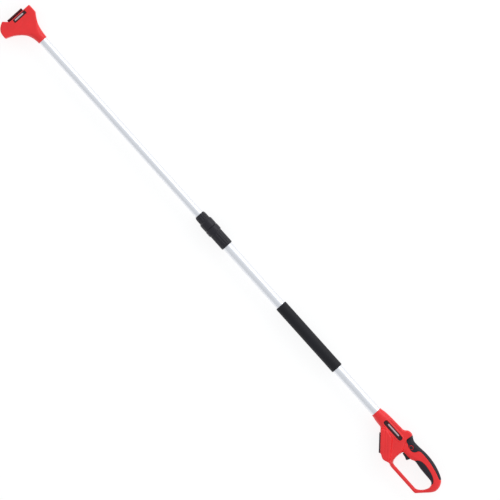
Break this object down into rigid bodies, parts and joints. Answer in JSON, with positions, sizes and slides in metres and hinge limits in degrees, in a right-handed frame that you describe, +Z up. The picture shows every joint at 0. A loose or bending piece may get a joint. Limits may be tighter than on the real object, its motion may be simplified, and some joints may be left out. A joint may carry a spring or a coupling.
{
  "type": "telescopic extension pole",
  "caption": "Telescopic extension pole for a cordless garden tool, with a trigger handle, a twist-lock collar and a clip-on tool head.",
  "frame": {"origin": "centre of the extended pole's bounding box, at the height of the surface it lies on", "axes": "+X along the pole from the tool head to the handle, +Y towards the back of the grip, +Z up; the pole lies on its right side, on the head's and the battery housing's flat side faces"},
  "size_m": [1.979, 0.1258, 0.068],
  "materials": {
    "red_shell": "moulded, softly glossy",
    "dark_red": "moulded, satin",
    "soft_rubber": "fine matt grain",
    "black_plastic": "moulded, satin",
    "foam": "closed-cell foam, dull",
    "aluminium": "satin anodised",
    "steel": "zinc plated",
    "brass": "bright",
    "nameplate": "smooth, blank",
    "lead": "satin cable sheath"
  },
  "bodies": {
    "handle": {"handle_shell_left": "red_shell", "handle_shell_right": "red_shell", "back_rubber_left": "soft_rubber", "back_rubber_right": "soft_rubber", "finger_rubber_left": "soft_rubber", "finger_rubber_right": "soft_rubber", "collar_body": "black_plastic", "collar_collet": "black_plastic", "battery_dock": "black_plastic", "battery_terminal_block": "black_plastic", "switch_block": "black_plastic", "tube_end_ring": "black_plastic", "foam_grip": "foam", "lower_tube": "aluminium", "trigger_pin": "steel", "trigger_spring": "steel", "lock_off_spring": "steel", "handle_screw_1": "steel", "handle_screw_2": "steel", "handle_screw_3": "steel", "handle_screw_4": "steel", "handle_screw_5": "steel", "handle_screw_6": "steel", "handle_screw_7": "steel", "terminal_blade_left": "brass", "terminal_blade_middle": "brass", "terminal_blade_right": "brass", "handle_badge_left": "nameplate", "handle_badge_right": "nameplate", "coiled_lead": "lead", "switch_wire": "lead"},
    "upper_pole": {"upper_tube": "aluminium", "guide_bush": "black_plastic", "head_shell_left": "red_shell", "head_shell_right": "red_shell", "head_dock_rails": "dark_red", "head_contact_block": "black_plastic", "head_latch_spring": "steel", "head_tube_screw": "steel", "head_screw_1": "steel", "head_screw_2": "steel", "head_screw_3": "steel", "head_screw_4": "steel", "head_contact_left": "brass", "head_contact_middle": "brass", "head_contact_right": "brass", "head_badge_left": "nameplate", "head_badge_right": "nameplate"},
    "collar_nut": {"collar_nut": "black_plastic"},
    "trigger": {"trigger": "black_plastic"},
    "lock_off_button": {"lock_off_button": "soft_rubber"},
    "head_latch": {"head_release_latch": "red_shell"}
  },
  "joints": [
    {"name": "pole_slide", "type": "slide", "parent": "handle", "child": "upper_pole", "axis": [1, 0, 0], "range_m": [0, 0.72], "deforming": ["coiled_lead"]},
    {"name": "collar_twist", "type": "hinge", "parent": "handle", "child": "collar_nut", "pos_m": [-0.11, 0.0206, 0.034], "axis": [1, 0, 0], "range_deg": [0, 90]},
    {"name": "trigger_pull", "type": "hinge", "parent": "handle", "child": "trigger", "pos_m": [0.837, 0.0041, 0.034], "axis": [0, 0, 1], "range_deg": [0, 12], "stiffness_Nm_per_rad": 0.26, "springref_deg": -6.59, "deforming": ["trigger_spring"]},
    {"name": "lock_off_press", "type": "slide", "parent": "handle", "child": "lock_off_button", "axis": [0, 0, -1], "range_m": [0, 0.003], "stiffness_N_per_m": 600, "springref_m": -0.002, "deforming": ["lock_off_spring"]},
    {"name": "head_latch_release", "type": "slide", "parent": "upper_pole", "child": "head_latch", "axis": [1, 0, 0], "range_m": [0, 0.004], "stiffness_N_per_m": 1200, "springref_m": -0.004, "deforming": ["head_latch_spring"]}
  ]
}
